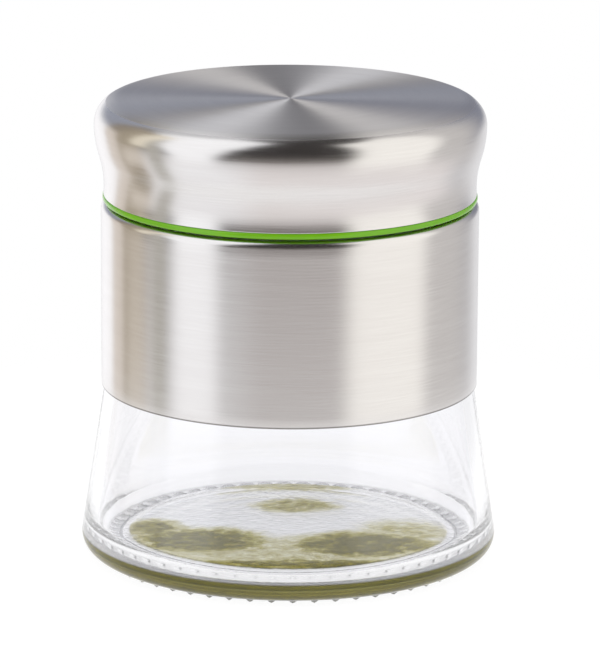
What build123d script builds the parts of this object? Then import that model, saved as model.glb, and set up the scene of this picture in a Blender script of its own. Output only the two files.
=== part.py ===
"""Spice jar: a flared glass jar in a steel sleeve, with a steel screw lid on a green plastic insert.

Millimetres, +Z up. The origin is the centre of the ring that the jar stands on,
and +Z is the axis that every piece is turned about.
"""
from build123d import *
import os

os.makedirs("parts", exist_ok=True)

# Glass jar
body_radius = 33.7
body_wall = 2.4
foot_flare = 4.5
foot_band_height = 4.0
foot_edge_radius = 0.5
flare_height = 33.4
flare_blend_radius = 15.0
heel_radius = 3.4
bearing_width = 1.4
push_up_height = 1.6
push_up_slope_width = 1.8
push_up_fillet = 1.0
dome_rise = 0.6
floor_thickness = 2.4
floor_corner_radius = 5.5
floor_dome_share = 0.75
shoulder_height = 65.2
shoulder_width = 3.8
shoulder_corner_share = 0.65
neck_root_share = 0.3
inner_shoulder_depth = 6.5
inner_shoulder_rise = 0.5
inner_shoulder_blend = 10.0
neck_wall = 2.4
neck_height = 15.6
rim_corner_radius = 0.7

# Steel sleeve, slipped over the straight body and bonded to it
sleeve_sheet = 0.5
sleeve_clearance = 0.3
sleeve_edge_gap = 0.09
sleeve_corner_radius = 1.8
collar_clearance = 0.3
bond_height = 5.0
bond_inset = 3.5

# Green screw insert that the steel lid is bonded to
lid_gap = 0.35
thread_room = 1.4
insert_clearance = 0.47
insert_top = 1.8
insert_corner_radius = 1.6
flange_thickness = 1.22
flange_edge_radius = 0.4

# Seal between the rim and the insert
seal_thickness = 1.5
seal_lap = 2.0
seal_clearance = 0.3

# Steel lid shell, drawn from one sheet with a lip, a waist and a wide crown
lid_sheet = 0.5
lip_inset = 0.1
lip_flare = 0.43
lip_height = 1.88
crown_overhang = 1.75
crown_corner_radius = 4.5
lid_bond_thickness = 0.33
lid_bond_inset = 1.5
lid_bond_width = 8.0

# Glass: places worked out from the sizes above
inner_radius = body_radius - body_wall
foot_radius = body_radius + foot_flare
inner_foot_radius = foot_radius - body_wall
bearing_inner_radius = foot_radius - heel_radius - bearing_width
push_up_radius = bearing_inner_radius - push_up_slope_width
dome_radius = push_up_radius - push_up_slope_width
floor_height = push_up_height + floor_thickness
floor_dome_radius = inner_foot_radius * floor_dome_share
shoulder_corner_radius = shoulder_width * shoulder_corner_share
neck_root_fillet = shoulder_width * neck_root_share
neck_radius = body_radius - shoulder_width
bore_radius = neck_radius - neck_wall
rim_height = shoulder_height + neck_height

# Sleeve: it slides down until the flare has nearly taken up its clearance
flare_slope = foot_flare / (flare_height - foot_band_height)
sleeve_edge_height = flare_height - (sleeve_clearance - sleeve_edge_gap) / flare_slope
sleeve_inner_radius = body_radius + sleeve_clearance
sleeve_radius = sleeve_inner_radius + sleeve_sheet
sleeve_top = shoulder_height + sleeve_clearance + sleeve_sheet
collar_radius = neck_radius + neck_root_fillet + collar_clearance

# Lid: the flange and the lip follow the sleeve, and the insert fills the shell's waist
flange_bottom = sleeve_top + lid_gap
flange_top = flange_bottom + flange_thickness
lip_radius = sleeve_radius - lip_inset
waist_radius = lip_radius - lip_flare
waist_height = flange_top + lip_height
crown_radius = waist_radius + crown_overhang
insert_bore_radius = neck_radius + thread_room
insert_radius = waist_radius - lid_sheet - insert_clearance
ceiling_height = rim_height + seal_thickness
insert_height = ceiling_height + insert_top
lid_height = insert_height + lid_bond_thickness + lid_sheet
crown_height = lid_height - crown_corner_radius
lid_bond_radius = bore_radius - lid_bond_inset

# Glass jar: push-up, heel, flare, straight body, shoulder and neck, then the hollow back to the floor
with BuildPart() as glass_jar:
    with BuildSketch(Plane.XZ):
        with BuildLine():
            dome_peak = push_up_height + dome_rise
            floor_peak = floor_height + dome_rise
            TangentArc((0, dome_peak), (dome_radius, push_up_height), tangent=(1, 0))
            FilletPolyline(
                (dome_radius, push_up_height),
                (push_up_radius, push_up_height),
                (bearing_inner_radius, 0),
                (foot_radius, 0),
                (foot_radius, foot_band_height),
                (body_radius, flare_height),
                (body_radius, shoulder_height),
                (neck_radius, shoulder_height),
                (neck_radius, rim_height),
                (bore_radius, rim_height),
                (bore_radius, shoulder_height + inner_shoulder_rise),
                (inner_radius, shoulder_height - inner_shoulder_depth),
                (inner_radius, flare_height),
                (inner_foot_radius, floor_height),
                (floor_dome_radius, floor_height),
                radius=(
                    push_up_fillet,
                    push_up_fillet,
                    heel_radius,
                    foot_edge_radius,
                    flare_blend_radius,
                    shoulder_corner_radius,
                    neck_root_fillet,
                    rim_corner_radius,
                    rim_corner_radius,
                    inner_shoulder_blend,
                    inner_shoulder_blend,
                    flare_blend_radius,
                    floor_corner_radius,
                ),
            )
            TangentArc((0, floor_peak), (floor_dome_radius, floor_height), tangent=(1, 0))
            Line((0, floor_peak), (0, dome_peak))
        make_face()
    revolve(axis=Axis.Z)
glass_jar.part.label = "glass_jar"
export_step(glass_jar.part, "parts/glass_jar.step")

# Steel sleeve: a straight drawn tube whose top rolls inwards over the glass shoulder
with BuildPart() as steel_sleeve:
    with BuildSketch(Plane.XZ):
        with BuildLine():
            FilletPolyline(
                (sleeve_inner_radius, sleeve_edge_height),
                (sleeve_radius, sleeve_edge_height),
                (sleeve_radius, sleeve_top),
                (collar_radius, sleeve_top),
                (collar_radius, sleeve_top - sleeve_sheet),
                (sleeve_inner_radius, sleeve_top - sleeve_sheet),
                radius=(0, 0, sleeve_corner_radius, 0, 0, sleeve_corner_radius - sleeve_sheet),
                close=True,
            )
        make_face()
    revolve(axis=Axis.Z)
steel_sleeve.part.label = "steel_sleeve"
export_step(steel_sleeve.part, "parts/steel_sleeve.step")

# Adhesive beads that fill the clearance between glass and sleeve near both ends
lower_bond_height = flare_height + bond_inset
upper_bond_height = shoulder_height - shoulder_corner_radius - bond_inset - bond_height

with BuildPart() as sleeve_bond_lower:
    with BuildSketch(Plane.XY.offset(lower_bond_height)):
        Circle(sleeve_inner_radius)
        Circle(body_radius, mode=Mode.SUBTRACT)
    extrude(amount=bond_height)
sleeve_bond_lower.part.label = "sleeve_bond_lower"
export_step(sleeve_bond_lower.part, "parts/sleeve_bond_lower.step")

with BuildPart() as sleeve_bond_upper:
    with BuildSketch(Plane.XY.offset(upper_bond_height)):
        Circle(sleeve_inner_radius)
        Circle(body_radius, mode=Mode.SUBTRACT)
    extrude(amount=bond_height)
sleeve_bond_upper.part.label = "sleeve_bond_upper"
export_step(sleeve_bond_upper.part, "parts/sleeve_bond_upper.step")

# Screw insert: a cap with a plain skirt and the flange that shows as the green ring
with BuildPart() as lid_insert:
    with BuildSketch(Plane.XZ):
        with BuildLine():
            FilletPolyline(
                (0, ceiling_height),
                (insert_bore_radius, ceiling_height),
                (insert_bore_radius, flange_bottom),
                (sleeve_radius, flange_bottom),
                (sleeve_radius, flange_top),
                (insert_radius, flange_top),
                (insert_radius, insert_height),
                (0, insert_height),
                radius=(0, flange_edge_radius, flange_edge_radius, 0, 0, insert_corner_radius),
            )
            Line((0, insert_height), (0, ceiling_height))
        make_face()
    revolve(axis=Axis.Z)
lid_insert.part.label = "lid_insert"
export_step(lid_insert.part, "parts/lid_insert.step")

# Seal ring that the insert presses on the rim
with BuildPart() as seal_ring:
    with BuildSketch(Plane.XY.offset(rim_height)):
        Circle(insert_bore_radius - seal_clearance)
        Circle(bore_radius - seal_lap, mode=Mode.SUBTRACT)
    extrude(amount=seal_thickness)
seal_ring.part.label = "seal_ring"
export_step(seal_ring.part, "parts/seal_ring.step")

# Lid shell: the outer line and the inner line, one sheet apart, from the lip to the flat top
with BuildPart() as lid_shell:
    with BuildSketch(Plane.XZ):
        with BuildLine():
            middle_radius = (waist_radius + crown_radius) / 2
            middle_height = (waist_height + crown_height) / 2
            flat_radius = crown_radius - crown_corner_radius
            for inset in (0, lid_sheet):
                lip = (lip_radius - inset, flange_top)
                waist = (waist_radius - inset, waist_height)
                middle = (middle_radius - inset, middle_height)
                crown = (crown_radius - inset, crown_height)
                shoulder = (flat_radius, lid_height - inset)
                TangentArc(waist, lip, tangent=(0, -1))
                TangentArc(waist, middle, tangent=(0, 1))
                TangentArc(crown, middle, tangent=(0, -1))
                TangentArc(crown, shoulder, tangent=(0, 1))
                Line(shoulder, (0, lid_height - inset))
            Line((0, lid_height), (0, lid_height - lid_sheet))
            Line((lip_radius, flange_top), (lip_radius - lid_sheet, flange_top))
        make_face()
    revolve(axis=Axis.Z)
lid_shell.part.label = "lid_shell"
export_step(lid_shell.part, "parts/lid_shell.step")

# Adhesive ring between the insert's top and the underside of the shell
with BuildPart() as lid_bond:
    with BuildSketch(Plane.XY.offset(insert_height)):
        Circle(lid_bond_radius)
        Circle(lid_bond_radius - lid_bond_width, mode=Mode.SUBTRACT)
    extrude(amount=lid_bond_thickness)
lid_bond.part.label = "lid_bond"
export_step(lid_bond.part, "parts/lid_bond.step")
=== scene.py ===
"""Looks of the spice jar: a flared glass jar in a brushed steel sleeve, with a steel screw lid on a green insert.

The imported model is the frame. Sizes are in millimetres and become metres where a mesh is made. +Z is the axis that
every piece is turned about, z = 0 is what the jar stands on, and the camera is on the -Y side.
"""
import logging
import math
from collections.abc import Callable, Mapping, Sequence
from dataclasses import dataclass
from enum import Enum
from typing import Any

import bpy
import numpy as np
from bpy.types import Material, Node, NodeSocket, NodeTree, Object
from mathutils import Euler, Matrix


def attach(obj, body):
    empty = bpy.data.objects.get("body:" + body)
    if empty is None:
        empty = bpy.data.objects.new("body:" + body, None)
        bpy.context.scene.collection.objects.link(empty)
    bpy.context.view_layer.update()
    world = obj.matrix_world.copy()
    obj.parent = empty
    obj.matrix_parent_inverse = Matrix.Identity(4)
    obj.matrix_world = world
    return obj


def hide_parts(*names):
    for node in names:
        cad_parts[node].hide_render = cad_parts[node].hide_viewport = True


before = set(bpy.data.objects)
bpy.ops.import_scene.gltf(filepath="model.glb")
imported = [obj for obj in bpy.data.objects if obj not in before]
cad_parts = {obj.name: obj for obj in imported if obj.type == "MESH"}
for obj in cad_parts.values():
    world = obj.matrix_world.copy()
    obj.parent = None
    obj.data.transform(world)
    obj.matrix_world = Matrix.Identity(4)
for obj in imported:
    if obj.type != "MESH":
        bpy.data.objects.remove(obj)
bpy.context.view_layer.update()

LOG = logging.getLogger("spice_jar")
MM = 0.001
Colour = tuple[float, float, float, float]
WHITE: Colour = (1.0, 1.0, 1.0, 1.0)
# The middle of a noise, the values that it mostly lies between, and a little more than them.
NOISE_MIDDLE, NOISE_LOW, NOISE_HIGH = 0.5, 0.3, 0.7
NOISE_FLOOR, NOISE_CEILING = 0.25, 0.75
# Setting of a MapRange node that blends by smoothstep.
EASED = {"interpolation_type": "SMOOTHSTEP"}
# Share of a full turn by which a highlight is turned to lie across the brush marks.
QUARTER_TURN = 0.25
# A point belongs to a wall if its radius is this near to the wall's, in millimetres.
ON_WALL = 0.01
# A corner that turns by less, in radians, is straight, and a share of a step below this is rounding.
STRAIGHT, ROUNDING = 1e-6, 1e-9


class Slot(Enum):
    """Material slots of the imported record."""

    GLASS = "glass"
    STEEL = "steel"
    GREEN_PLASTIC = "green_plastic"
    SILICONE = "silicone"
    ADHESIVE = "adhesive"


class Body(Enum):
    """Bodies that the pieces ride on."""

    JAR = "jar"
    SEAL = "seal"
    LID = "lid"


# ---- small tools: colour, nodes, profiles and turned meshes


def linear(code: str, level: float = 1.0) -> Colour:
    """Turns an sRGB hex colour into the linear colour that a socket holds.

    A channel c is c / 12.92 up to 0.04045, and ((c + 0.055) / 1.055) ** 2.4 above it.

    Args:
        code: Colour as "#rrggbb".
        level: Factor on the linear colour, for light.

    Returns:
        Linear red, green, blue and an alpha of 1.
    """
    c = np.array([int(code[i : i + 2], 16) for i in (1, 3, 5)]) / 255
    value = np.where(c <= 0.04045, c / 12.92, ((c + 0.055) / 1.055) ** 2.4) * level
    return (*map(float, value), 1.0)


def through(code: str) -> Colour:
    """Gives the base colour of a glass surface through which white looks like the given colour.

    The shader lets the square root of its base colour through, so the base colour is the square.

    Args:
        code: Colour as "#rrggbb".

    Returns:
        Linear red, green, blue and an alpha of 1.
    """
    return (*(c * c for c in linear(code)[:3]), 1.0)


def add_node(
    tree: NodeTree,
    kind: str,
    inputs: Mapping[str | int, Any] | None = None,
    stops: Sequence[tuple[float, Colour]] = (),
    **settings: Any,
) -> Node:
    """Adds a node with its settings and links.

    Args:
        tree: Node tree that gets the node.
        kind: Blender's class name of the node, after "ShaderNode".
        inputs: Sockets by name or number, each with the output that feeds it, with a node whose first output feeds it
            or with its value.
        stops: Places and colours of a colour ramp.
        **settings: Properties of the node.

    Returns:
        The new node.
    """
    node = tree.nodes.new("ShaderNode" + kind)
    for name, value in settings.items():
        setattr(node, name, value)
    for name, value in (inputs or {}).items():
        if isinstance(value, Node):
            value = value.outputs[0]
        if isinstance(value, NodeSocket):
            tree.links.new(value, node.inputs[name])
        else:
            node.inputs[name].default_value = value
    for i, (place, colour) in enumerate(stops):
        ramp = node.color_ramp.elements
        stop = ramp[i] if i < len(ramp) else ramp.new(place)
        stop.position, stop.color = place, colour
    return node


def new_material(name: str) -> tuple[Material, NodeTree]:
    """Makes an empty node material.

    Args:
        name: Name of the real material and of its process.

    Returns:
        The material and its node tree.
    """
    material = bpy.data.materials.new(name)
    material.use_nodes = True
    material.node_tree.nodes.clear()
    return material, material.node_tree


def tangent_arc(start: Sequence[float], end: Sequence[float], direction: Sequence[float], count: int) -> np.ndarray:
    """Draws the arc that leaves start along direction and ends at end.

    With chord d, unit direction t and the unit normal n on d's side, the radius is d.d / (2 d.n) and the arc turns
    by 2 atan2(d.n, d.t). A point is start + radius (sin(a) t + (1 - cos(a)) n).

    Args:
        start: First point as radius and height.
        end: Last point as radius and height.
        direction: Direction at the start.
        count: Number of points.

    Returns:
        Points of the arc, one per row.
    """
    first, t = np.array(start, float), np.array(direction, float)
    chord = np.array(end, float) - first
    normal = chord - (chord @ t) * t
    normal /= np.linalg.norm(normal)
    radius = chord @ chord / (2 * chord @ normal)
    a = np.linspace(0, 2 * math.atan2(chord @ normal, chord @ t), count)[:, None]
    return first + radius * (np.sin(a) * t + (1 - np.cos(a)) * normal)


def rounded(corners: Sequence[Sequence[float]], turn_deg: float = 12.0) -> np.ndarray:
    """Rounds the inner corners of an open polyline by tangent arcs.

    At a corner p between unit directions u and v that turn by f, the arc begins at p - bend tan(f / 2) u.

    Args:
        corners: Corners as radius, height and bend, which is the arc's radius, or 0 at a sharp corner and at an end.
        turn_deg: Largest turn between two points of an arc.

    Returns:
        Points of the rounded line, one per row.
    """
    p, bends = np.split(np.array(corners, float), [2], axis=1)
    parts = [p[:1]]
    for before, corner, after, bend in zip(p, p[1:], p[2:], bends[1:, 0]):
        u, v = corner - before, after - corner
        u, v = u / np.linalg.norm(u), v / np.linalg.norm(v)
        turn = math.acos(np.clip(u @ v, -1, 1))
        if bend == 0 or turn < STRAIGHT:
            parts.append(corner[None])
            continue
        reach = bend * math.tan(turn / 2)
        count = max(3, math.ceil(math.degrees(turn) / turn_deg) + 1)
        parts.append(tangent_arc(corner - reach * u, corner + reach * v, u, count))
    return np.vstack([*parts, p[-1:]])


def spaced(line: np.ndarray, step: float | np.ndarray) -> np.ndarray:
    """Divides the runs of a line so that its points are no further apart than step.

    Args:
        line: Points, one per row.
        step: Largest gap, one for all runs or one per run.

    Returns:
        The line with more points.
    """
    runs = np.diff(line, axis=0)
    counts = np.maximum(1, np.ceil(np.hypot(*runs.T) / step - ROUNDING).astype(int))
    first = np.repeat(np.arange(len(runs)), counts)
    share = (np.arange(counts.sum()) - np.repeat(np.cumsum(counts) - counts, counts)) / counts[first]
    return np.vstack([line[first] + runs[first] * share[:, None], line[-1:]])


def smoothstep(share: np.ndarray) -> np.ndarray:
    """Eases shares between 0 and 1 by x x (3 - 2 x)."""
    return share * share * (3 - 2 * share)


def turned(
    name: str,
    line: np.ndarray,
    columns: int,
    closed: bool,
    shape: Callable[[np.ndarray, np.ndarray, np.ndarray], tuple[np.ndarray, np.ndarray]] | None = None,
    angles: np.ndarray | None = None,
) -> Object:
    """Carries a profile round the axis and closes it.

    The point of row i and column j is (r cos a, r sin a, z), with r and z of profile point i and a = 2 pi j / columns
    where no angles are given. A closed profile joins its last row to its first. An open one begins and ends on the
    axis, where a row is one point. The profile runs anticlockwise in the plane of radius and height, so that faces
    point outwards.

    Args:
        name: Name of the piece.
        line: Profile in millimetres, one (radius, height) per row.
        columns: Number of columns round the axis.
        closed: Whether the profile closes on itself.
        shape: Changes the grids of radius and height, given with the grid of angles.
        angles: Rising angles of the columns, once round the axis.

    Returns:
        The new object.
    """
    rows = len(line)
    if angles is None:
        angles = np.linspace(0, 2 * np.pi, columns, endpoint=False)
    a = np.tile(angles, (rows, 1))
    r, z = (np.repeat(line[:, k : k + 1], columns, axis=1) for k in (0, 1))
    if shape is not None:
        r, z = shape(r, z, a)
    points = np.stack([r * np.cos(a), r * np.sin(a), z], -1).reshape(-1, 3) * MM
    index = np.arange(rows * columns).reshape(rows, columns)
    if closed:
        index = np.vstack([index, index[:1]])
        band, caps = index, []
    else:
        band = index[1:-1]
        first, last = band[0], band[-1]
        low, high = (np.full(columns, end) for end in (0, rows * columns - columns))
        caps = [
            *np.stack([low, np.roll(first, -1), first], 1).tolist(),
            *np.stack([last, np.roll(last, -1), high], 1).tolist(),
        ]
    here, above = band[:-1], band[1:]
    quads = np.stack([here, np.roll(here, -1, 1), np.roll(above, -1, 1), above], -1).reshape(-1, 4)
    if not closed:
        used = np.r_[0, columns : rows * columns - columns + 1]
        place = np.zeros(rows * columns, int)
        place[used] = np.arange(len(used))
        points, quads, caps = points[used], place[quads], place[np.array(caps)].tolist()
    mesh = bpy.data.meshes.new(name)
    mesh.from_pydata(points, [], [*quads.tolist(), *caps])
    mesh.shade_smooth()
    piece = bpy.data.objects.new(name, mesh)
    bpy.context.scene.collection.objects.link(piece)
    return piece


def dress(piece: Object, finish: Material, body: Body, node: str) -> None:
    """Gives a piece its finish, body and slot, in place of its CAD node, and reports it.

    Args:
        piece: The finished object.
        finish: Material of all or most of it.
        body: Body that it moves with.
        node: CAD node that it stands for.
    """
    piece.data.materials.append(finish)
    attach(piece, body.value)
    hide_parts(node)
    LOG.info("%s: %d faces on %s", piece.name, len(piece.data.polygons), body.value)


# ---- finishes


@dataclass(frozen=True)
class Brushing:
    """Brush marks that run round the axis, on walls and on the flat top alike.

    Real marks lie a few hundredths of a millimetre apart. They are drawn coarser than real, so that they show.
    """

    reach: float = 34.5
    mark_length: float = 9.0
    mark_pitch: float = 0.2
    detail: float = 3.0
    roughness: float = 0.6

    def noise(self, tree: NodeTree) -> Node:
        """Builds the noise of the marks.

        It reads (cos a, sin a) times reach / mark_length, and (z - r) / mark_pitch, so a mark is long round the axis
        and thin along the profile, and no seam shows.

        Args:
            tree: Node tree that gets the nodes.

        Returns:
            The noise.
        """
        place = add_node(tree, "TexCoord").outputs["Object"]
        flat = add_node(tree, "VectorMath", {0: place, 1: (1, 1, 0)}, operation="MULTIPLY")
        radius = add_node(tree, "VectorMath", {0: flat}, operation="LENGTH")
        around = add_node(tree, "VectorMath", {0: flat}, operation="NORMALIZE")
        scaled = add_node(tree, "VectorMath", {0: around, "Scale": self.reach / self.mark_length}, operation="SCALE")
        parts = add_node(tree, "SeparateXYZ", {0: place})
        along = add_node(tree, "Math", {0: parts.outputs["Z"], 1: radius.outputs["Value"]}, operation="SUBTRACT")
        thin = add_node(tree, "Math", {0: along, 1: 1 / (self.mark_pitch * MM)}, operation="MULTIPLY")
        lifted = add_node(tree, "CombineXYZ", {"Z": thin})
        vector = add_node(tree, "VectorMath", {0: scaled, 1: lifted}, operation="ADD")
        inputs = {"Vector": vector, "Scale": 1.0, "Detail": self.detail, "Roughness": self.roughness}
        return add_node(tree, "TexNoise", inputs)


@dataclass(frozen=True)
class BrushedSteel:
    """Stainless steel sheet, drawn and then brushed round its axis on a lathe.

    The marks smear each reflection across themselves: soft upright bands on a wall and a fan of wedges on the top.
    Below edge_height, on the sleeve's lower edge, the colour is painted dark: painted shade for the shaded gap between
    sleeve and glass.
    """

    name: str = "stainless_steel_brushed"
    bright: str = "#e4e2e1"
    dull: str = "#dcd9d8"
    # Painted shade: the dark colour of the sleeve's lower edge, which stands in for the shaded gap between sleeve and
    # glass.
    edge: str = "#918e8d"
    edge_height: float = 32.32
    gap_shade_blend: float = 0.08
    roughness: float = 0.22
    roughness_spread: float = 0.03
    anisotropy: float = 0.5
    mark_height: float = 0.003
    marks: Brushing = Brushing()
    streaks: Brushing = Brushing(mark_length=30.0, mark_pitch=2.2, detail=2.0, roughness=0.5)
    streak_share: float = 0.35

    def material(self) -> Material:
        """Builds the node material.

        Returns:
            The material.
        """
        material, tree = new_material(self.name)
        fine, broad = self.marks.noise(tree), self.streaks.noise(tree)
        both = add_node(tree, "Mix", {"Factor": self.streak_share, 2: fine, 3: broad}, data_type="FLOAT")
        stops = ((NOISE_LOW, linear(self.dull)), (NOISE_HIGH, linear(self.bright)))
        colour = add_node(tree, "ValToRGB", {"Fac": both}, stops)
        place = add_node(tree, "TexCoord").outputs["Object"]
        height = add_node(tree, "SeparateXYZ", {0: place}).outputs["Z"]
        # Painted shade: a dark band below edge_height on the sleeve's lower edge, for the shaded gap between sleeve and
        # glass.
        plain, dark = (self.edge_height + self.gap_shade_blend) * MM, (self.edge_height - self.gap_shade_blend) * MM
        painted_gap_shade = add_node(tree, "MapRange", {"Value": height, "From Min": plain, "From Max": dark})
        shade = add_node(tree, "Mix", {"Factor": painted_gap_shade, 6: colour, 7: linear(self.edge)}, data_type="RGBA")
        least, most = self.roughness - self.roughness_spread, self.roughness + self.roughness_spread
        inputs = {"Value": fine, "From Min": NOISE_FLOOR, "From Max": NOISE_CEILING, "To Min": least, "To Max": most}
        rough = add_node(tree, "MapRange", inputs)
        bump = add_node(tree, "Bump", {"Height": fine, "Distance": self.mark_height * MM, "Strength": 1.0})
        tangent = add_node(tree, "Tangent", direction_type="RADIAL", axis="Z")
        shader = add_node(
            tree,
            "BsdfPrincipled",
            {
                "Base Color": shade.outputs[2],
                "Metallic": 1.0,
                "Roughness": rough,
                "Anisotropic": self.anisotropy,
                "Anisotropic Rotation": QUARTER_TURN,
                "Tangent": tangent,
                "Normal": bump,
            },
        )
        add_node(tree, "OutputMaterial", {"Surface": shader})
        return material


@dataclass(frozen=True)
class ShadeCloud:
    """An oval cloud of painted shade in the floor's glass: its middle and half lengths along X and Y in millimetres,
    and its depth.
    """

    x: float
    y: float
    half_x: float
    half_y: float
    depth: float


@dataclass(frozen=True)
class ContainerGlass:
    """Soda-lime container glass, press-and-blow moulded.

    It is clear in the wall. Light that runs through the thick base comes out at the heel olive, so the heel is
    coloured where light enters it. The floor's upper face gets olive clouds of painted shade, which stand in for the
    shaded table under the jar seen through the floor, and its chilled skin has fine wrinkles. The ring that the jar
    stands on is stippled. heel and the cloud colours are what white looks like through the glass, by height in
    millimetres and by a cloud's depth.
    """

    name: str = "soda_lime_glass_moulded"
    clear: str = "#fdfdfe"
    heel: tuple[tuple[float, str], ...] = (
        *((0.9, "#f4f2ea"), (1.1, "#b3ad76"), (1.5, "#8c8430"), (2.8, "#a0963a"), (3.05, "#bcb458")),
        *((3.3, "#706a04"), (3.75, "#968e08"), (4.1, "#938b22"), (4.37, "#aca88a")),
    )
    heel_radius: float = 34.4
    heel_top: float = 4.37
    # Painted shade: olive colours by a cloud's depth, for the shaded table under the jar seen through the floor.
    shade_cloud_colours: tuple[tuple[float, str], ...] = (
        (0.0, "#fdfdfc"), (0.25, "#dfdbb8"), (0.5, "#bab264"), (0.75, "#948b14"), (1.0, "#706800")
    )
    clouds: tuple[ShadeCloud, ...] = (
        ShadeCloud(0.0, -17.0, 34.0, 12.0, 0.36),
        ShadeCloud(-16.0, -10.0, 14.0, 9.5, 1.0),
        ShadeCloud(-25.5, -1.0, 6.5, 6.0, 0.85),
        ShadeCloud(14.0, -12.0, 14.5, 9.5, 1.1),
        ShadeCloud(21.5, -4.0, 10.0, 10.0, 0.42),
        ShadeCloud(2.0, -25.3, 20.0, 4.5, 0.95),
        ShadeCloud(1.5, 13.5, 9.0, 5.0, 0.6),
        ShadeCloud(0.0, 27.2, 19.0, 3.2, 0.55),
    )
    cloud_tear: float = 5.0
    cloud_grain: float = 0.55
    cloud_core: float = 0.4
    cloud_rim: float = 1.2
    floor_radius: float = 29.6
    floor_low: float = 3.0
    floor_top: float = 5.2
    blend: float = 0.25
    ior: float = 1.52
    stipple: float = 0.65
    stipple_radius: float = 31.0
    stipple_top: float = 0.9
    wrinkle_radius: float = 33.2
    wrinkle_low: float = 2.6
    wrinkle_size: float = 2.2
    wrinkle_height: float = 0.1

    def material(self) -> Material:
        """Builds the node material.

        Each mask is smoothstep over 2 blend about a height or a radius, and masks are multiplied. A cloud's depth
        falls by smoothstep from cloud_core to cloud_rim of its half lengths, and the deepest cloud counts.

        Returns:
            The material.
        """
        material, tree = new_material(self.name)
        place = add_node(tree, "TexCoord").outputs["Object"]
        height = add_node(tree, "SeparateXYZ", {0: place}).outputs["Z"]
        flat = add_node(tree, "VectorMath", {0: place, 1: (1, 1, 0)}, operation="MULTIPLY")
        radius = add_node(tree, "VectorMath", {0: flat}, operation="LENGTH").outputs["Value"]
        low_wall, outside, on_disc, over, beneath, bearing, resting, inside, above = (
            add_node(
                tree,
                "MapRange",
                {"Value": value, "From Min": (at - way * self.blend) * MM, "From Max": (at + way * self.blend) * MM},
                **EASED,
            )
            for value, at, way in (
                (height, self.heel_top, -1),
                (radius, self.heel_radius, 1),
                (radius, self.floor_radius, -1),
                (height, self.floor_low, 1),
                (height, self.floor_top, -1),
                (radius, self.stipple_radius, 1),
                (height, self.stipple_top, -1),
                (radius, self.wrinkle_radius, -1),
                (height, self.wrinkle_low, 1),
            )
        )
        leaving = add_node(tree, "NewGeometry").outputs["Backfacing"]
        entering = add_node(tree, "Math", {0: 1.0, 1: leaving}, operation="SUBTRACT")
        products = []
        for first, *others in (
            (low_wall, outside, entering),
            (on_disc, over, beneath),
            (inside, above, beneath),
            (bearing, resting, self.stipple),
        ):
            for mask in others:
                first = add_node(tree, "Math", {0: first, 1: mask}, operation="MULTIPLY")
            products.append(first)
        on_heel, on_floor, on_skin, rough = products
        wrinkles = add_node(
            tree, "TexNoise", {"Vector": place, "Scale": 1 / (self.wrinkle_size * MM), "Detail": 5.0, "Roughness": 0.65}
        )
        drift = add_node(
            tree, "TexNoise", {"Vector": place, "Scale": 1 / (self.cloud_tear * MM), "Detail": 6.0, "Roughness": 0.7}
        )
        pulled = add_node(tree, "VectorMath", {0: drift.outputs["Color"], 1: (NOISE_MIDDLE,) * 3}, operation="SUBTRACT")
        tear = (self.cloud_tear * MM,) * 3
        torn = add_node(tree, "VectorMath", {0: pulled, 1: tear, 2: flat}, operation="MULTIPLY_ADD")
        depth: Any = 0.0
        for cloud in self.clouds:
            middle = (cloud.x * MM, cloud.y * MM, 0)
            shrink = (1 / (cloud.half_x * MM), 1 / (cloud.half_y * MM), 0)
            off = add_node(tree, "VectorMath", {0: torn, 1: middle}, operation="SUBTRACT")
            scaled = add_node(tree, "VectorMath", {0: off, 1: shrink}, operation="MULTIPLY")
            reach = add_node(tree, "VectorMath", {0: scaled}, operation="LENGTH").outputs["Value"]
            fall = {"Value": reach, "From Min": self.cloud_rim, "From Max": self.cloud_core, "To Max": cloud.depth}
            oval = add_node(tree, "MapRange", fall, **EASED)
            depth = add_node(tree, "Math", {0: depth, 1: oval}, operation="MAXIMUM")
        least, most = 1 - self.cloud_grain, 1 + self.cloud_grain
        inputs = {"Value": wrinkles, "From Min": NOISE_LOW, "From Max": NOISE_HIGH, "To Min": least, "To Max": most}
        grain = add_node(tree, "MapRange", inputs)
        depth = add_node(tree, "Math", {0: depth, 1: grain}, operation="MULTIPLY")
        # Painted shade: the clouds' depth becomes olive colours that stand in for the shaded table under the jar.
        stops = [(at, through(code)) for at, code in self.shade_cloud_colours]
        painted_shade_clouds = add_node(tree, "ValToRGB", {"Fac": depth}, stops)
        low, high = self.heel[0][0], self.heel[-1][0]
        up_heel = add_node(tree, "MapRange", {"Value": height, "From Min": low * MM, "From Max": high * MM})
        stops = [((at - low) / (high - low), through(code)) for at, code in self.heel]
        banded = add_node(tree, "ValToRGB", {"Fac": up_heel}, stops)
        colour: Any = through(self.clear)
        for mask, layer in ((on_floor, painted_shade_clouds), (on_heel, banded)):
            colour = add_node(tree, "Mix", {"Factor": mask, 6: colour, 7: layer}, data_type="RGBA").outputs[2]
        bump = add_node(tree, "Bump", {"Height": wrinkles, "Distance": self.wrinkle_height * MM, "Strength": on_skin})
        shader = add_node(
            tree,
            "BsdfPrincipled",
            {"Base Color": colour, "Roughness": rough, "IOR": self.ior, "Transmission Weight": 1.0, "Normal": bump},
        )
        add_node(tree, "OutputMaterial", {"Surface": shader})
        return material


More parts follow.
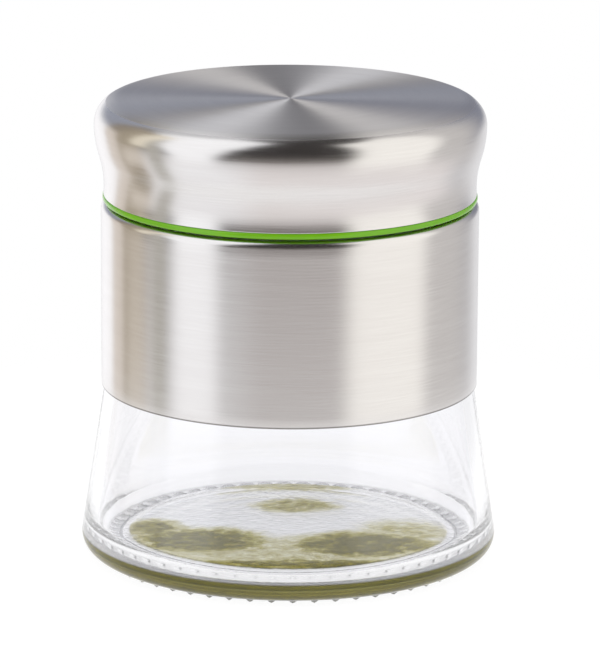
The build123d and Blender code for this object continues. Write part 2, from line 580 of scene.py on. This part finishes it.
@dataclass(frozen=True)
class MouldedPlastic:
    """Injection-moulded plastic or rubber: an even colour with faint flow clouds, and the fine grain of its mould.

    Real grain is finer than grain_size. It is drawn coarser than real, so that it shows.
    """

    name: str
    light: str
    dark: str
    roughness: float
    ior: float
    cloud_size: float = 6.0
    grain_size: float = 0.35
    grain_height: float = 0.004
    subsurface: float = 0.0
    subsurface_reach: float = 1.0

    def material(self) -> Material:
        """Builds the node material.

        Returns:
            The material.
        """
        material, tree = new_material(self.name)
        place = add_node(tree, "TexCoord").outputs["Object"]
        clouds, grain = (
            add_node(tree, "TexNoise", {"Vector": place, "Scale": 1 / (size * MM), "Detail": 2.0})
            for size in (self.cloud_size, self.grain_size)
        )
        stops = ((NOISE_LOW, linear(self.dark)), (NOISE_HIGH, linear(self.light)))
        colour = add_node(tree, "ValToRGB", {"Fac": clouds}, stops)
        bump = add_node(tree, "Bump", {"Height": grain, "Distance": self.grain_height * MM, "Strength": 1.0})
        shader = add_node(
            tree,
            "BsdfPrincipled",
            {
                "Base Color": colour,
                "Roughness": self.roughness,
                "IOR": self.ior,
                "Subsurface Weight": self.subsurface,
                "Subsurface Scale": self.subsurface_reach * MM,
                "Normal": bump,
            },
        )
        add_node(tree, "OutputMaterial", {"Surface": shader})
        return material


# A fine brushing keeps the bands of the walls soft but apart, and a coarser one makes the wedges on the lid's top.
STEEL_WALL = BrushedSteel()
STEEL_TOP = BrushedSteel(
    "stainless_steel_lathe_brushed", roughness=0.42, roughness_spread=0.02, anisotropy=0.97, mark_height=0.0015
)
GLASS = ContainerGlass()
# Glossy and slightly milky, a soft dull rubber, and cured resin with a satin skin.
POLYPROPYLENE = MouldedPlastic("polypropylene_injection_moulded", "#78bc14", "#6fb40e", 0.16, 1.49, subsurface=0.15)
SILICONE = MouldedPlastic("silicone_rubber_moulded", "#e4e3de", "#d8d7d1", 0.5, 1.41)
ADHESIVE = MouldedPlastic("epoxy_adhesive_cured", "#dfd9c4", "#cfc8b0", 0.4, 1.55, cloud_size=1.5, grain_size=0.8)


# ---- sub-assemblies


@dataclass(frozen=True)
class ScrewThread:
    """A right-handed ridge that winds up a wall and fades out at both ends."""

    start: float
    height: float
    half_width: float
    lead: float = 4.2
    turns: float = 1.7
    fade: float = 0.07
    flank: float = 1.5

    def ridge(self, z: np.ndarray, a: np.ndarray) -> np.ndarray:
        """Gives the ridge's height over the wall.

        The ridge's line is z = start + lead * turn. The nearest turn with the fraction a / 2 pi is taken, and the
        height falls with smoothstep to nothing at half_width from the line and over fade of a turn at each end. The
        crest is flat to (1 - 1 / flank) of half_width.

        Args:
            z: Heights of the wall's points.
            a: Angles of the wall's points.

        Returns:
            Heights of the ridge, in millimetres.
        """
        at, part = (z - self.start) / self.lead, a / (2 * np.pi)
        turn = np.round(at - part) + part
        near = np.clip(self.flank - self.flank * np.abs(at - turn) * self.lead / self.half_width, 0, 1)
        ends = np.clip(turn / self.fade, 0, 1) * np.clip((self.turns - turn) / self.fade, 0, 1)
        return self.height * smoothstep(near) * smoothstep(ends)


@dataclass
class GlassJar:
    """The jar: a flared foot on radial bars, with a pushed-up base, a straight body and a threaded neck."""

    body_radius: float = 33.7
    inner_radius: float = 31.3
    foot_radius: float = 38.2
    inner_foot_radius: float = 35.8
    foot_band_height: float = 4.1
    foot_band_corner: float = 0.3
    flare_height: float = 33.4
    flare_blend: float = 15.0
    heel_radius: float = 3.2
    bearing_radius: float = 33.0
    bearing_blend: float = 5.0
    bar_height: float = 0.58
    bar_count: int = 57
    bar_width: float = 0.26
    bar_flank: float = 0.2
    bar_inner_radius: float = 33.3
    bar_outer_radius: float = 35.3
    bar_inner_fade: float = 2.8
    bar_outer_fade: float = 0.35
    bar_step: float = 0.35
    bar_margin: float = 1.0
    bar_phases: tuple[float, ...] = (-0.5, -0.32, -0.2, -0.1, 0.0, 0.1, 0.2, 0.32)
    push_up_height: float = 1.4
    push_up_radius: float = 27.5
    push_up_blend: float = 20.0
    push_up_rise: float = 0.6
    disc_radius: float = 28.9
    disc_height: float = 0.9
    disc_edge: float = 2.2
    disc_blend: float = 2.5
    floor_rise: float = 0.2
    floor_height: float = 3.0
    floor_corner: float = 4.2
    shoulder_height: float = 65.2
    shoulder_corner: float = 2.47
    neck_radius: float = 29.9
    neck_root: float = 1.14
    bore_radius: float = 27.5
    rim_height: float = 80.8
    rim_corner: float = 0.7
    inner_shoulder_top: float = 65.7
    inner_shoulder_bottom: float = 58.7
    inner_shoulder_blend: float = 10.0
    dome_points: int = 16
    step: float = 2.6
    thread_step: float = 0.3
    thread: ScrewThread = ScrewThread(start=69.8, height=1.05, half_width=1.0)

    def profile(self) -> np.ndarray:
        """Draws the wall's section from the underside's centre, up the outside, over the rim and down to the floor.

        Returns:
            Points of the profile in millimetres.
        """
        push_up_edge = (self.push_up_radius, self.push_up_height)
        under = tangent_arc((0, self.push_up_height + self.push_up_rise), push_up_edge, (1, 0), self.dome_points)
        disc_top = self.floor_height + self.disc_height
        corners = [
            (*under[-2], 0),
            (*push_up_edge, self.push_up_blend),
            (self.bearing_radius, self.bar_height, self.bearing_blend),
            (self.foot_radius, self.bar_height, self.heel_radius),
            (self.foot_radius, self.foot_band_height, self.foot_band_corner),
            (self.body_radius, self.flare_height, self.flare_blend),
            (self.body_radius, self.shoulder_height, self.shoulder_corner),
            (self.neck_radius, self.shoulder_height, self.neck_root),
            (self.neck_radius, self.rim_height, self.rim_corner),
            (self.bore_radius, self.rim_height, self.rim_corner),
            (self.bore_radius, self.inner_shoulder_top, self.inner_shoulder_blend),
            (self.inner_radius, self.inner_shoulder_bottom, self.inner_shoulder_blend),
            (self.inner_radius, self.flare_height, self.flare_blend),
            (self.inner_foot_radius, self.floor_height, self.floor_corner),
            (self.disc_radius + self.disc_edge, self.floor_height, self.disc_blend),
            (self.disc_radius, disc_top, self.disc_blend),
            (0, disc_top, 0),
        ]
        wall = rounded(corners)
        floor = tangent_arc((0, disc_top + self.floor_rise), wall[-2], (1, 0), self.dome_points)[::-1]
        line = np.vstack([under[:-2], wall[1:-1], floor[1:]])
        middle = (line[:-1] + line[1:]) / 2
        threaded = (abs(middle[:, 0] - self.neck_radius) < ON_WALL) & (middle[:, 1] > self.shoulder_height)
        barred = (middle[:, 1] < self.push_up_height) & (middle[:, 0] > self.bearing_radius - self.bar_margin)
        return spaced(line, np.select([threaded, barred], [self.thread_step, self.bar_step], self.step))

    def shape(self, r: np.ndarray, z: np.ndarray, a: np.ndarray) -> tuple[np.ndarray, np.ndarray]:
        """Adds the bars under the foot and the thread on the neck.

        A bar hangs bar_height below the bearing ring, with a flat crown and smoothstep flanks and ends. phase is how
        far a point is from the middle of the nearest bar, as a share of their pitch.

        Args:
            r: Radii of the grid.
            z: Heights of the grid.
            a: Angles of the grid.

        Returns:
            Changed radii and heights.
        """
        phase = np.abs((a * self.bar_count / (2 * np.pi) + 0.5) % 1 - 0.5)
        across = np.clip((self.bar_width / 2 - phase) / self.bar_flank + 0.5, 0, 1)
        inner = np.clip((r - self.bar_inner_radius) / self.bar_inner_fade + 0.5, 0, 1)
        outer = np.clip((self.bar_outer_radius - r) / self.bar_outer_fade + 0.5, 0, 1)
        under = z < self.push_up_height
        z = z - under * self.bar_height * smoothstep(across) * smoothstep(inner * outer)
        on_neck = (abs(r - self.neck_radius) < ON_WALL) & (z > self.shoulder_height)
        return r + on_neck * self.thread.ridge(z, a), z

    def build(self) -> None:
        """Builds and dresses the jar, with columns where the bars' flanks begin and end."""
        phases = np.arange(self.bar_count)[:, None] + np.array(self.bar_phases)
        angles = (2 * np.pi / self.bar_count * phases).ravel()
        jar = turned("glass_jar_piece", self.profile(), len(angles), closed=False, shape=self.shape, angles=angles)
        dress(jar, GLASS.material(), Body.JAR, "glass_jar")


@dataclass
class SteelSleeve:
    """The sleeve: a drawn tube over the body, whose top rolls inwards over the shoulder."""

    inner_radius: float = 34.0
    sheet: float = 0.5
    edge_height: float = 32.028
    top: float = 66.0
    corner: float = 1.3
    collar_radius: float = 31.34
    edge_break: float = 0.12
    columns: int = 360
    step: float = 2.0
    turn_deg: float = 9.0

    def profile(self) -> np.ndarray:
        """Draws the sheet's section as a closed line, up the outside and down the inside.

        Returns:
            Points of the profile in millimetres.
        """
        outer, middle = self.inner_radius + self.sheet, self.inner_radius + self.sheet / 2
        corners = [
            (middle, self.edge_height, 0),
            (outer, self.edge_height, self.edge_break),
            (outer, self.top, self.corner),
            (self.collar_radius, self.top, self.edge_break),
            (self.collar_radius, self.top - self.sheet, self.edge_break),
            (self.inner_radius, self.top - self.sheet, self.corner - self.sheet),
            (self.inner_radius, self.edge_height, self.edge_break),
            (middle, self.edge_height, 0),
        ]
        line = rounded(corners, self.turn_deg)
        return spaced(line, self.step)[:-1]

    def build(self, steel: Material) -> None:
        """Builds and dresses the sleeve.

        Args:
            steel: Material that it shares with the lid.
        """
        sleeve = turned("steel_sleeve_piece", self.profile(), self.columns, closed=True)
        dress(sleeve, steel, Body.JAR, "steel_sleeve")


@dataclass
class SealRing:
    """The soft ring between the rim and the insert."""

    inner_radius: float = 25.5
    outer_radius: float = 31.0
    bottom: float = 80.8
    top: float = 82.3
    edge: float = 0.3
    columns: int = 240
    step: float = 1.0
    turn_deg: float = 20.0

    def build(self) -> None:
        """Builds and dresses the ring."""
        middle = (self.inner_radius + self.outer_radius) / 2
        corners = [
            (middle, self.bottom, 0),
            (self.outer_radius, self.bottom, self.edge),
            (self.outer_radius, self.top, self.edge),
            (self.inner_radius, self.top, self.edge),
            (self.inner_radius, self.bottom, self.edge),
            (middle, self.bottom, 0),
        ]
        line = rounded(corners, self.turn_deg)
        ring = turned("seal_ring_piece", spaced(line, self.step)[:-1], self.columns, closed=True)
        dress(ring, SILICONE.material(), Body.SEAL, "seal_ring")


@dataclass
class ScrewLid:
    """The lid: a green screw insert, whose flange shows as a ring, in a drawn steel shell."""

    insert_bore: float = 31.3
    insert_radius: float = 33.0
    insert_corner: float = 1.6
    ceiling: float = 82.3
    ceiling_corner: float = 0.3
    insert_top: float = 84.1
    flange_radius: float = 34.2
    flange_bottom: float = 66.38
    flange_top: float = 67.46
    flange_edge: float = 0.42
    flange_root: float = 0.2
    lip_radius: float = 34.04
    waist_radius: float = 33.97
    waist_height: float = 69.0
    crown_radius: float = 35.72
    crown_height: float = 80.43
    top: float = 84.93
    lathed_drop: float = 0.6
    sheet: float = 0.5
    edge_break: float = 0.12
    columns: int = 360
    lip_points: int = 8
    waist_points: int = 10
    corner_points: int = 18
    step: float = 1.5
    insert_step: float = 3.0
    thread_step: float = 0.3
    insert_turn_deg: float = 18.0
    edge_turn_deg: float = 20.0
    thread: ScrewThread = ScrewThread(start=71.9, height=1.05, half_width=0.8)

    def insert_profile(self) -> np.ndarray:
        """Draws the insert's section, from under its ceiling down the bore, round the flange and over the top.

        Returns:
            Points of the profile in millimetres.
        """
        corners = [
            (0, self.ceiling, 0),
            (self.insert_bore, self.ceiling, self.ceiling_corner),
            (self.insert_bore, self.flange_bottom, self.flange_edge),
            (self.flange_radius, self.flange_bottom, self.flange_edge),
            (self.flange_radius, self.flange_top, self.flange_edge),
            (self.insert_radius, self.flange_top, self.flange_root),
            (self.insert_radius, self.insert_top, self.insert_corner),
            (0, self.insert_top, 0),
        ]
        line = rounded(corners, self.insert_turn_deg)
        middle = (line[:-1] + line[1:]) / 2
        threaded = (abs(middle[:, 0] - self.insert_bore) < ON_WALL) & (middle[:, 1] > self.flange_top)
        return spaced(line, np.where(threaded, self.thread_step, self.insert_step))

    def insert_shape(self, r: np.ndarray, z: np.ndarray, a: np.ndarray) -> tuple[np.ndarray, np.ndarray]:
        """Adds the thread in the bore.

        Args:
            r: Radii of the grid.
            z: Heights of the grid.
            a: Angles of the grid.

        Returns:
            Changed radii and heights.
        """
        in_bore = (abs(r - self.insert_bore) < ON_WALL) & (z > self.flange_top)
        return r - in_bore * self.thread.ridge(z, a), z

    def shell_profile(self) -> np.ndarray:
        """Draws the shell's section: lip, waist and crown in tangent arcs, with the inner line a sheet inside.

        Returns:
            Points of the profile in millimetres.
        """
        middle_radius = (self.waist_radius + self.crown_radius) / 2
        middle_height = (self.waist_height + self.crown_height) / 2
        flat_radius = self.crown_radius - (self.top - self.crown_height)
        lines = []
        for inset in (self.sheet, 0.0):
            lip = (self.lip_radius - inset, self.flange_top)
            waist = (self.waist_radius - inset, self.waist_height)
            middle = (middle_radius - inset, middle_height)
            crown = (self.crown_radius - inset, self.crown_height)
            shoulder = (flat_radius, self.top - inset)
            parts = [
                tangent_arc(waist, lip, (0, -1), self.lip_points)[::-1],
                tangent_arc(waist, middle, (0, 1), self.waist_points)[1:],
                tangent_arc(crown, middle, (0, -1), self.waist_points)[::-1][1:],
                tangent_arc(crown, shoulder, (0, 1), self.corner_points)[1:],
                [(0, self.top - inset)],
            ]
            lines.append(np.vstack(parts))
        inner, outer = lines
        corners = ((inner[1], 0), (inner[0], self.edge_break), (outer[0], self.edge_break), (outer[1], 0))
        edge = rounded([(*corner, bend) for corner, bend in corners], self.edge_turn_deg)
        return spaced(np.vstack([inner[:1:-1], edge, outer[2:]]), self.step)

    def build(self, steel: Material) -> None:
        """Builds and dresses the insert and the shell.

        The shell's faces less than lathed_drop below the top get the coarser lathe finish.

        Args:
            steel: Material that the shell's wall shares with the sleeve.
        """
        insert = turned("lid_insert_piece", self.insert_profile(), self.columns, closed=False, shape=self.insert_shape)
        dress(insert, POLYPROPYLENE.material(), Body.LID, "lid_insert")
        shell = turned("lid_shell_piece", self.shell_profile(), self.columns, closed=False)
        dress(shell, steel, Body.LID, "lid_shell")
        shell.data.materials.append(STEEL_TOP.material())
        faces = shell.data.polygons
        middles = np.empty(3 * len(faces))
        faces.foreach_get("center", middles)
        lathed = middles[2::3] > (self.top - self.lathed_drop) * MM
        faces.foreach_set("material_index", lathed.astype(np.int32))


@dataclass
class AdhesiveBonds:
    """The cured beads that hold the sleeve and the shell, kept as the CAD shapes them."""

    nodes: tuple[str, ...] = ("sleeve_bond_lower", "sleeve_bond_upper", "lid_bond")

    def build(self) -> None:
        """Dresses the three CAD nodes."""
        adhesive = ADHESIVE.material()
        for name in self.nodes:
            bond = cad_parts[name]
            bond.data.materials.clear()
            bond.data.materials.append(adhesive)
            LOG.info("%s: kept", name)


# ---- studio


@dataclass(frozen=True)
class Panel:
    """A light or dark panel round the set.

    Its azimuth is from the camera's side towards +X, and low and high are elevations, all in degrees. soft and
    soft_rise are the widths of its soft edges. From the horizon to the zenith, lean turns it and spread widens it.
    level is a factor on its colour.
    """

    azimuth: float
    width: float
    low: float
    high: float
    colour: str
    level: float = 1.0
    soft: float = 8.0
    soft_rise: float = 8.0
    lean: float = 0.0
    spread: float = 0.0


@dataclass
class Studio:
    """The set: a pale floor, an even white room with panels round it, and the camera.

    Lengths are in millimetres and angles in degrees. clip is the range that the camera sees, in metres.
    """

    camera_place: tuple[float, float, float] = (1.96, -862.5, 259.0)
    pitch_down: float = 14.197894
    roll: float = 0.35
    lens: float = 261.06
    sensor: float = 36.0
    clip: tuple[float, float] = (0.01, 50.0)
    floor_radius: float = 150.0
    floor_fade: float = 60.0
    floor_depth: float = 0.05
    floor_columns: int = 96
    floor_rings: int = 4
    floor_white: str = "#f2f2f2"
    paper: str = "#6c6c6c"
    paper_glow: float = 0.93
    room: str = "#3b3837"
    light: float = 0.95
    bounces: int = 32
    backdrop: float = 1.0
    backdrop_top: float = 11.0
    backdrop_blend: float = 5.0
    wall: float = 0.12
    panels: tuple[Panel, ...] = (
        Panel(0, 76, -90, 10, "#78736f", soft=26, soft_rise=40),
        Panel(0, 360, -90, -13.6, "#f2edec", 1.08, soft_rise=7),
        Panel(158, 80, -90, -12, "#d9d8da", soft=30, soft_rise=14),
        Panel(-62, 70, -90, -14, "#f8f8fa", 1.14, soft=30, soft_rise=16),
        Panel(-162, 60, -90, 46, "#a2a7b4"),
        Panel(-160, 58, -90, 7, "#f8f8fa", 1.28, soft_rise=16),
        Panel(150, 66, -12, 48, "#8a8d9a", soft=14),
        Panel(168, 54, -90, -3, "#eeeef0", soft=30, soft_rise=16),
        Panel(148, 80, 38, 63, "#c0c0c4", soft=24, soft_rise=14),
        Panel(-150, 70, 46, 78, "#dcdde0", soft=36, soft_rise=14),
        Panel(-82, 80, 40, 79, "#f8f9fb", 1.25, soft=24, soft_rise=14, lean=8),
        Panel(-118, 32, -90, 42, "#9c9284", soft=10),
        Panel(-127, 18, -90, 8, "#ece2d8", soft=10, soft_rise=12),
        Panel(-111, 20, -90, 40, "#ada28e", soft=8),
        Panel(-97.5, 16, -6, 46, "#f3ead6", 1.1, soft=7),
        Panel(-107, 20, -24, -13, "#f0e6da", 0.98, soft=10, soft_rise=8),
        Panel(-108, 14, -90, -25, "#a0947f", soft=10, soft_rise=8),
        Panel(-86, 12, -90, 27, "#bcb9b0", soft=8, soft_rise=16),
        Panel(-60, 35, -16, 80, "#f8f9fb", 1.3, soft=12, lean=-5, spread=26),
        Panel(108, 58, -20, 65, "#d6d3d1", soft=44, spread=30),
        Panel(66, 58, -20, 65, "#f8f6f1", 1.25, soft=16, lean=16, spread=10),
    )

    def build_camera(self) -> None:
        """Puts the camera at the photograph's viewing angle."""
        data = bpy.data.cameras.new("camera")
        data.sensor_fit, data.sensor_width, data.lens = "AUTO", self.sensor, self.lens
        data.clip_start, data.clip_end = self.clip
        camera = bpy.data.objects.new("camera", data)
        camera.location = np.array(self.camera_place) * MM
        tilt = Euler((math.radians(90 - self.pitch_down), 0, 0)).to_matrix()
        turn = Euler((0, 0, math.radians(self.roll))).to_matrix()
        camera.rotation_euler = (tilt @ turn).to_euler()
        bpy.context.scene.collection.objects.link(camera)
        bpy.context.scene.camera = camera

    def build_floor(self) -> None:
        """Lays a pale disc that keeps the jar's shadow and fades into the white room at its edge.

        Light meets floor_white. Camera, glossy and transmission rays meet the darker paper and the glow that makes it
        pale, so the background is light without more light on the jar.
        """
        line = spaced(np.array([(0.0, 0.0), (self.floor_radius, 0.0)]), self.floor_radius / self.floor_rings)
        drop = np.array([0.0, self.floor_depth])
        floor = turned("floor", np.vstack([line - 2 * drop, line[::-1] - drop]), self.floor_columns, closed=False)
        material, tree = new_material("paper_matt_white")
        place = add_node(tree, "TexCoord").outputs["Object"]
        radius = add_node(tree, "VectorMath", {0: place}, operation="LENGTH").outputs["Value"]
        path = add_node(tree, "LightPath")
        seen = path.outputs["Is Camera Ray"]
        for kind in ("Is Glossy Ray", "Is Transmission Ray"):
            seen = add_node(tree, "Math", {0: seen, 1: path.outputs[kind]}, operation="MAXIMUM")
        plain = add_node(tree, "BsdfDiffuse", {"Color": linear(self.floor_white)})
        shaded = add_node(tree, "BsdfDiffuse", {"Color": linear(self.paper)})
        glow = add_node(tree, "Emission", {"Color": WHITE, "Strength": self.paper_glow})
        lit = add_node(tree, "AddShader", {0: shaded, 1: glow})
        shown = add_node(tree, "MixShader", {0: seen, 1: plain, 2: lit})
        solid, gone = (self.floor_radius - self.floor_fade) * MM, self.floor_radius * MM
        edge = add_node(tree, "MapRange", {"Value": radius, "From Min": solid, "From Max": gone}, **EASED)
        clear = add_node(tree, "BsdfTransparent")
        faded = add_node(tree, "MixShader", {0: edge, 1: shown, 2: clear})
        add_node(tree, "OutputMaterial", {"Surface": faded})
        material.cycles.emission_sampling = "NONE"
        floor.data.materials.append(material)

    def build_room(self) -> None:
        """Surrounds the set with the white room and its panels.

        A panel's mask is smoothstep on the angle between the azimuth and the panel's middle, times smoothstep on the
        sine of the elevation at its lower and upper edge. Light is even and white, and glossy and transmission rays
        see the panels. Over that, camera and transmission rays see the white backdrop up to backdrop_top, and only
        its share wall higher up.
        """
        world = bpy.data.worlds.new("studio_room")
        bpy.context.scene.world = world
        world.use_nodes = True
        tree = world.node_tree
        tree.nodes.clear()
        view = add_node(tree, "TexCoord").outputs["Generated"]
        parts = add_node(tree, "SeparateXYZ", {0: view})
        rise = parts.outputs["Z"]
        ahead = add_node(tree, "Math", {0: parts.outputs["Y"], 1: -1.0}, operation="MULTIPLY")
        azimuth = add_node(tree, "Math", {0: parts.outputs["X"], 1: ahead}, operation="ARCTAN2")
        colour: Any = linear(self.room)
        for panel in self.panels:
            middle, half, soft = (math.radians(v) for v in (panel.azimuth, panel.width / 2, panel.soft / 2))
            mask: Any = 1.0
            if panel.width < 360:
                spread, lean = math.radians(panel.spread / 2), math.radians(panel.lean)
                outer, inner = (
                    add_node(tree, "Math", {0: rise, 1: spread, 2: half + way * soft}, operation="MULTIPLY_ADD")
                    for way in (1, -1)
                )
                leaned = add_node(tree, "Math", {0: rise, 1: -lean, 2: azimuth}, operation="MULTIPLY_ADD")
                off = add_node(tree, "Math", {0: leaned, 1: middle}, operation="SUBTRACT")
                turn = add_node(tree, "Math", {0: off, 1: math.pi, 2: -math.pi}, operation="WRAP")
                angle = add_node(tree, "Math", {0: turn}, operation="ABSOLUTE")
                mask = add_node(tree, "MapRange", {"Value": angle, "From Min": outer, "From Max": inner}, **EASED)
            blur = math.radians(panel.soft_rise / 2)
            for edge, way in ((panel.low, 1), (panel.high, -1)):
                if abs(edge) < 90:
                    dark, full = (math.sin(math.radians(edge) + part * way * blur) for part in (-1, 1))
                    side = add_node(tree, "MapRange", {"Value": rise, "From Min": dark, "From Max": full}, **EASED)
                    mask = add_node(tree, "Math", {0: mask, 1: side}, operation="MULTIPLY")
            tint = linear(panel.colour, panel.level)
            colour = add_node(tree, "Mix", {"Factor": mask, 6: colour, 7: tint}, data_type="RGBA").outputs[2]
        room = add_node(tree, "Background", {"Color": colour, "Strength": 1.0})
        plain = add_node(tree, "Background", {"Color": WHITE, "Strength": self.light})
        white = add_node(tree, "Background", {"Color": WHITE, "Strength": self.backdrop})
        path = add_node(tree, "LightPath")
        through_glass = path.outputs["Is Transmission Ray"]
        seen, mirrored = (
            add_node(tree, "Math", {0: path.outputs[kind], 1: through_glass}, operation="MAXIMUM")
            for kind in ("Is Camera Ray", "Is Glossy Ray")
        )
        top, blur = math.sin(math.radians(self.backdrop_top)), math.radians(self.backdrop_blend / 2)
        fade = {"Value": rise, "From Min": top + blur, "From Max": top - blur, "To Min": self.wall}
        under = add_node(tree, "MapRange", fade, **EASED)
        papered = add_node(tree, "Math", {0: seen, 1: under}, operation="MULTIPLY")
        lit = add_node(tree, "MixShader", {0: mirrored, 1: plain, 2: room})
        shown = add_node(tree, "MixShader", {0: papered, 1: lit, 2: white})
        add_node(tree, "OutputWorld", {"Surface": shown})

    def build(self) -> None:
        """Builds the camera, the floor and the room."""
        self.build_camera()
        self.build_floor()
        self.build_room()
        bpy.context.scene.view_settings.view_transform = "Standard"
        bpy.context.scene.world.cycles.sampling_method = "NONE"
        for kind in ("max", "glossy", "transmission"):
            setattr(bpy.context.scene.cycles, f"{kind}_bounces", self.bounces)


def main() -> None:
    """Builds the set and the pieces, and keeps the CAD nodes hidden beside them."""
    logging.basicConfig(level=logging.INFO, format="%(name)s %(message)s")
    Studio().build()
    steel = STEEL_WALL.material()
    GlassJar().build()
    SteelSleeve().build(steel)
    SealRing().build()
    ScrewLid().build(steel)
    AdhesiveBonds().build()


if __name__ == "__main__":
    main()
